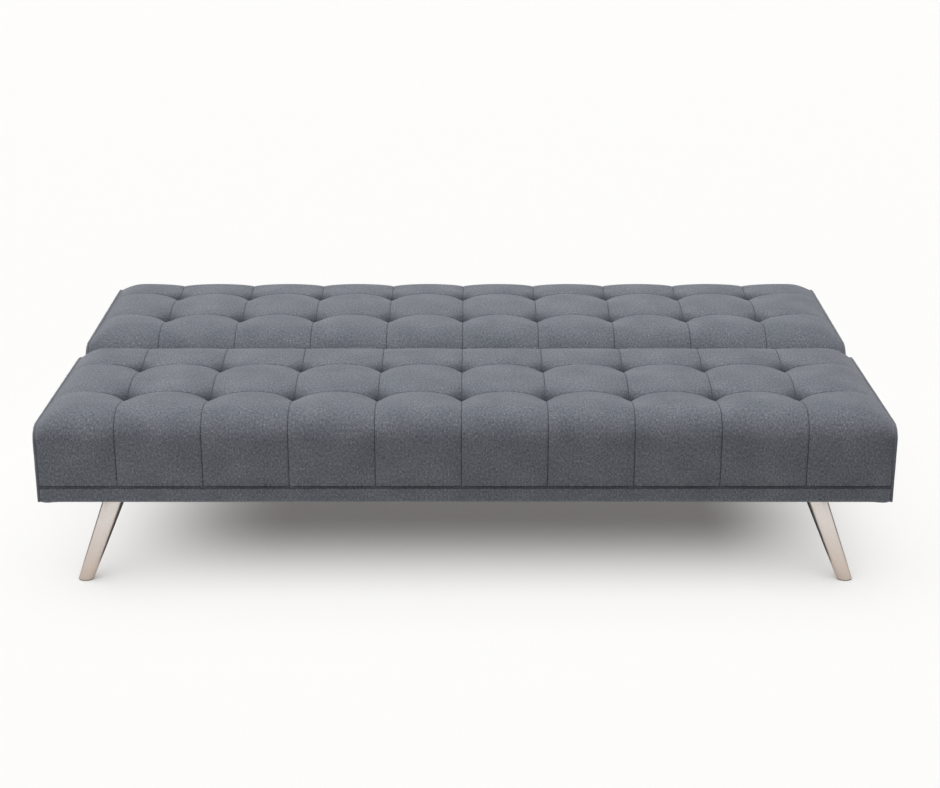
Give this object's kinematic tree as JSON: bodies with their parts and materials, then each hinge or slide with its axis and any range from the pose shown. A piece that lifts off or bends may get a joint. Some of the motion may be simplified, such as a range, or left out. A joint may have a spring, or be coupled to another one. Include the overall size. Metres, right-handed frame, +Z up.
{
  "type": "futon sofa bed",
  "caption": "Armless click-clack sofa bed shown flat: biscuit-tufted seat and folding back on ratchet hinges, timber frames, steel sub-frame and splayed oval legs.",
  "frame": {"origin": "middle of the footprint, on the floor", "axes": "+X along the length of the bed, +Y from the front of the seat to the back, +Z up"},
  "size_m": [1.68, 0.97, 0.372],
  "materials": {
    "upholstery": "blue-grey heather weave",
    "foam": "open-cell polyurethane foam",
    "wadding": "white polyester wadding",
    "felt": "grey recycled felt",
    "dust_cloth": "black non-woven cloth",
    "timber": "planed pine and plywood, unfinished",
    "spring_steel": "bare drawn wire",
    "black_steel": "black powder coat",
    "satin_nickel": "satin nickel plate",
    "fastener_steel": "zinc plate",
    "hinge_steel": "zinc plated pressed steel",
    "black_plastic": "moulded polyethylene",
    "bumper_rubber": "moulded rubber"
  },
  "bodies": {
    "base": {"back_bumpers": "bumper_rubber", "carrier_bolts": "fastener_steel", "carrier_end_plugs": "black_plastic", "carrier_left": "black_steel", "carrier_right": "black_steel", "hinge_pins": "hinge_steel", "hinge_washers": "hinge_steel", "leg_bolts": "fastener_steel", "leg_front_left": "satin_nickel", "leg_front_right": "satin_nickel", "leg_glides": "black_plastic", "leg_plates": "satin_nickel", "leg_rear_left": "satin_nickel", "leg_rear_right": "satin_nickel", "leg_weld_nuts": "fastener_steel", "pawl_pins": "hinge_steel", "pawl_springs": "spring_steel", "pawl_stops": "hinge_steel", "rear_crossbar": "black_steel", "seat_arm_screws": "fastener_steel", "seat_corner_blocks": "timber", "seat_cover": "upholstery", "seat_cross_rails": "timber", "seat_dust_cover": "dust_cloth", "seat_end_rail_left": "timber", "seat_end_rail_right": "timber", "seat_felt": "felt", "seat_foam": "foam", "seat_front_band": "upholstery", "seat_front_rail": "timber", "seat_hinge_arm_left": "hinge_steel", "seat_hinge_arm_right": "hinge_steel", "seat_piping": "upholstery", "seat_rear_rail": "timber", "seat_side_padding": "wadding", "seat_side_panels": "upholstery", "seat_spring_clips": "spring_steel", "seat_springs": "spring_steel", "seat_wadding": "wadding"},
    "backrest": {"back_arm_screws": "fastener_steel", "back_corner_blocks": "timber", "back_cover": "upholstery", "back_cross_rails": "timber", "back_end_rail_left": "timber", "back_end_rail_right": "timber", "back_felt": "felt", "back_foam": "foam", "back_front_rail": "timber", "back_hinge_arm_left": "hinge_steel", "back_hinge_arm_right": "hinge_steel", "back_piping": "upholstery", "back_rear_panel": "upholstery", "back_rear_rail": "timber", "back_side_padding": "wadding", "back_side_panels": "upholstery", "back_spring_clips": "spring_steel", "back_springs": "spring_steel", "back_wadding": "wadding"},
    "pawl_left": {"pawl_left": "hinge_steel"},
    "pawl_right": {"pawl_right": "hinge_steel"}
  },
  "joints": [
    {"name": "back_fold", "type": "hinge", "parent": "base", "child": "backrest", "pos_m": [0, 0.018, 0.33], "axis": [1, 0, 0], "range_deg": [0, 80]},
    {"name": "pawl_left_click", "type": "hinge", "parent": "base", "child": "pawl_left", "pos_m": [0, -0.02845, 0.28539], "axis": [1, 0, 0], "range_deg": [0, 8]},
    {"name": "pawl_right_click", "type": "hinge", "parent": "base", "child": "pawl_right", "pos_m": [0, -0.02845, 0.28539], "axis": [1, 0, 0], "range_deg": [0, 8]}
  ],
  "couplings": [
    {"joint": "pawl_right_click", "follows": "pawl_left_click", "ratio": 1}
  ]
}
